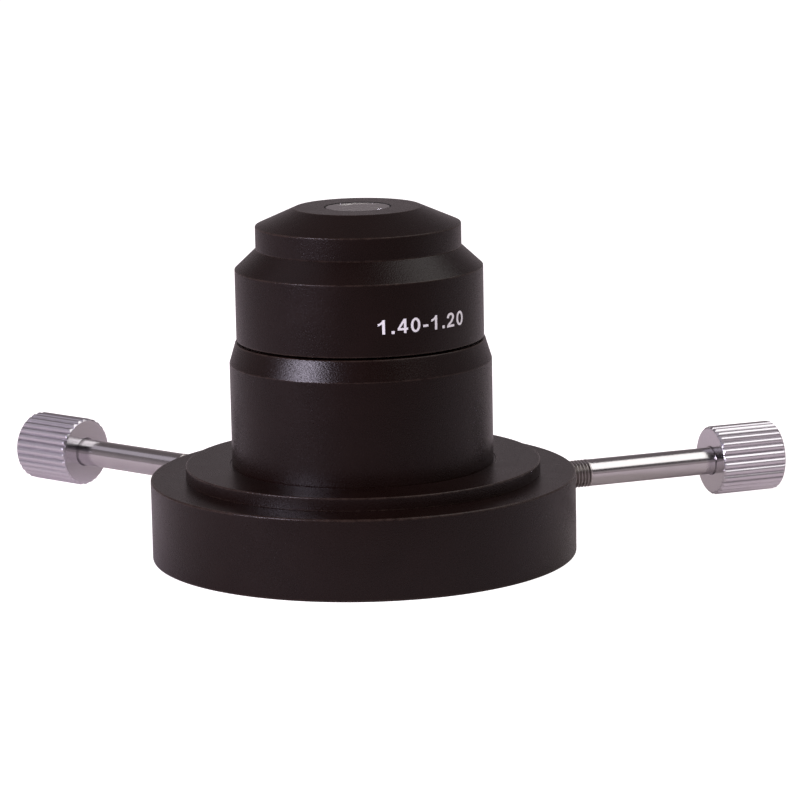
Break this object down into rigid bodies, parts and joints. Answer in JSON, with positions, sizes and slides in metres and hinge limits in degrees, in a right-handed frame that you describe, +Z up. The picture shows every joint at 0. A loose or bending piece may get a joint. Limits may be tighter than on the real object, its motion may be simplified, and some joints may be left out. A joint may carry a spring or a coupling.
{
  "type": "dark-field microscope condenser",
  "caption": "Oil-immersion dark-field condenser: stepped black barrel on a wide ring, moved sideways in its carrier sleeve by fluted centring screws.",
  "frame": {"origin": "on the optical axis, in the plane of the mounting shoulder, the upper face of the flange", "axes": "+Z up the optical axis towards the specimen, +Y to the back along the line halfway between the two centring screws, +X to the right"},
  "size_m": [0.1162, 0.0665, 0.0494],
  "materials": {
    "black_anodised": "satin black anodised",
    "knob_aluminium": "turned and fluted, bright",
    "polished_steel": "polished",
    "spring_steel": "tempered strip",
    "brass": "turned",
    "optical_glass": "polished, silvered on the curved side",
    "stop_black": "matt black",
    "blued_steel": "blackened screw steel"
  },
  "bodies": {
    "mount": {"mount_ring": "black_anodised", "carrier_sleeve": "black_anodised", "retainer_plate": "black_anodised", "clamp_screws": "blued_steel", "bow_spring": "spring_steel"},
    "pad_right": {"thrust_pad_right": "brass"},
    "pad_left": {"thrust_pad_left": "brass"},
    "screw_right": {"centring_screw_right": "polished_steel", "knob_right": "knob_aluminium"},
    "screw_left": {"centring_screw_left": "polished_steel", "knob_left": "knob_aluminium"},
    "slip_washer": {"slip_washer": "brass"},
    "optical_head": {"barrel": "black_anodised", "head": "black_anodised", "lens_cell": "black_anodised", "front_lens": "optical_glass", "mirror_lens": "optical_glass", "centre_stop": "stop_black", "lens_retainer": "black_anodised", "annular_stop": "stop_black", "stop_ring": "black_anodised"}
  },
  "joints": [
    {"name": "right_screw_advance", "type": "slide", "parent": "mount", "child": "pad_right", "axis": [-0.866, -0.5, 0], "range_m": [-0.00075, 0.00075]},
    {"name": "right_screw_turn", "type": "hinge", "parent": "pad_right", "child": "screw_right", "pos_m": [0, 0, -0.0051], "axis": [-0.866, -0.5, 0], "range_deg": [-540.5, 540.5]},
    {"name": "left_screw_advance", "type": "slide", "parent": "mount", "child": "pad_left", "axis": [0.866, -0.5, 0], "range_m": [-0.00075, 0.00075]},
    {"name": "left_screw_turn", "type": "hinge", "parent": "pad_left", "child": "screw_left", "pos_m": [0, 0, -0.0051], "axis": [0.866, -0.5, 0], "range_deg": [-540.5, 540.5]},
    {"name": "washer_slide", "type": "slide", "parent": "mount", "child": "slip_washer", "axis": [-0.5, -0.866, 0], "range_m": [-0.00087, 0.00087]},
    {"name": "head_slide", "type": "slide", "parent": "slip_washer", "child": "optical_head", "axis": [0.5, -0.866, 0], "range_m": [-0.00087, 0.00087], "deforming": ["bow_spring"]}
  ],
  "couplings": [
    {"joint": "right_screw_turn", "follows": "right_screw_advance", "rad_per_m": 12566},
    {"joint": "washer_slide", "follows": "right_screw_advance", "ratio": 1.1547},
    {"joint": "left_screw_turn", "follows": "left_screw_advance", "rad_per_m": 12566},
    {"joint": "head_slide", "follows": "left_screw_advance", "ratio": 1.1547}
  ]
}
